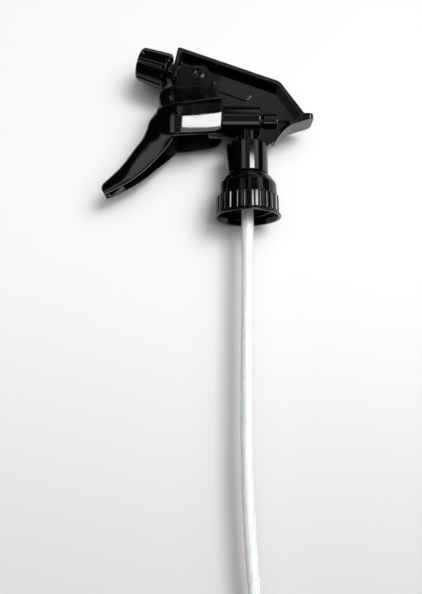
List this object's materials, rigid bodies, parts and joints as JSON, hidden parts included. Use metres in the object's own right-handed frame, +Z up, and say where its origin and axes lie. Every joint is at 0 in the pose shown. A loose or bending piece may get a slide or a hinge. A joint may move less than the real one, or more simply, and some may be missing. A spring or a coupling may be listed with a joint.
{
  "type": "trigger sprayer head",
  "caption": "Trigger sprayer head with a ribbed screw closure, a finger lever that drives a piston pump, a turning nozzle cap and a long dip tube.",
  "frame": {"origin": "on the neck's axis, at the gasket face that lands on the bottle's rim", "axes": "+Z up the neck towards the head, the dip tube hangs along -Z, the nozzle points towards -X and the hand saddle towards +X"},
  "size_m": [0.108, 0.034, 0.3142],
  "materials": {
    "housing_black": "black moulded plastic, glossy, with fine handling scratches",
    "plug_black": "black moulded plastic, glossy, with fine handling scratches",
    "trigger_black": "black moulded plastic, glossy, with fine handling scratches",
    "closure_black": "black moulded plastic, glossy, with fine handling scratches",
    "cap_black": "black moulded plastic, glossy, with fine handling scratches",
    "piston_natural": "undyed moulded plastic, off-white, satin",
    "retainer_natural": "undyed moulded plastic, off-white, satin",
    "cage_natural": "undyed moulded plastic, off-white, satin",
    "swirl_natural": "undyed moulded plastic, off-white, satin",
    "seal_rubber": "dark moulded rubber",
    "gasket_foam": "pale soft foamed gasket",
    "spring_steel": "drawn stainless wire",
    "ball_steel": "ground stainless ball",
    "milky_tube": "translucent milky extruded tube"
  },
  "bodies": {
    "housing": {"body": "housing_black", "rear_plug": "plug_black", "tube_retainer": "retainer_natural", "ball_cage": "cage_natural", "neck_gasket": "gasket_foam", "dip_tube": "milky_tube", "swirl_plug": "swirl_natural", "return_spring": "spring_steel", "outlet_spring": "spring_steel"},
    "trigger": {"trigger": "trigger_black"},
    "piston": {"piston": "piston_natural", "vent_seal": "seal_rubber", "pressure_seal": "seal_rubber"},
    "closure": {"closure": "closure_black"},
    "nozzle_seal": {"nozzle_seal": "seal_rubber"},
    "nozzle_cap": {"nozzle_cap": "cap_black"},
    "inlet_ball": {"inlet_ball": "ball_steel"},
    "outlet_ball": {"outlet_ball": "ball_steel"}
  },
  "joints": [
    {"name": "trigger_pull", "type": "hinge", "parent": "housing", "child": "trigger", "pos_m": [-0.0252, 0, 0.0591], "axis": [0, -1, 0], "range_deg": [0, 22], "stiffness_Nm_per_rad": 0.57, "springref_deg": -21.2},
    {"name": "piston_slide", "type": "slide", "parent": "housing", "child": "piston", "axis": [1, 0, 0], "range_m": [0, 0.0076], "deforming": ["return_spring"]},
    {"name": "closure_spin", "type": "hinge", "parent": "housing", "child": "closure", "pos_m": [0, 0, 0], "axis": [0, 0, 1], "continuous": true},
    {"name": "nozzle_travel", "type": "slide", "parent": "housing", "child": "nozzle_seal", "axis": [-0.9483, 0, 0.3173], "range_m": [-0.0008, 0.0016]},
    {"name": "nozzle_turn", "type": "hinge", "parent": "nozzle_seal", "child": "nozzle_cap", "pos_m": [-0.0372, 0, 0.0641], "axis": [-0.9483, 0, 0.3173], "range_deg": [-90, 180]},
    {"name": "inlet_ball_lift", "type": "slide", "parent": "housing", "child": "inlet_ball", "axis": [0, 0, 1], "range_m": [0, 0.0012]},
    {"name": "outlet_ball_lift", "type": "slide", "parent": "housing", "child": "outlet_ball", "axis": [-0.9483, 0, 0.3173], "range_m": [0, 0.0008], "stiffness_N_per_m": 60, "springref_m": -0.003, "deforming": ["outlet_spring"]}
  ],
  "couplings": [
    {"joint": "piston_slide", "follows": "trigger_pull", "m_per_rad": 0.0197},
    {"joint": "nozzle_travel", "follows": "nozzle_turn", "m_per_rad": 0.000509}
  ]
}
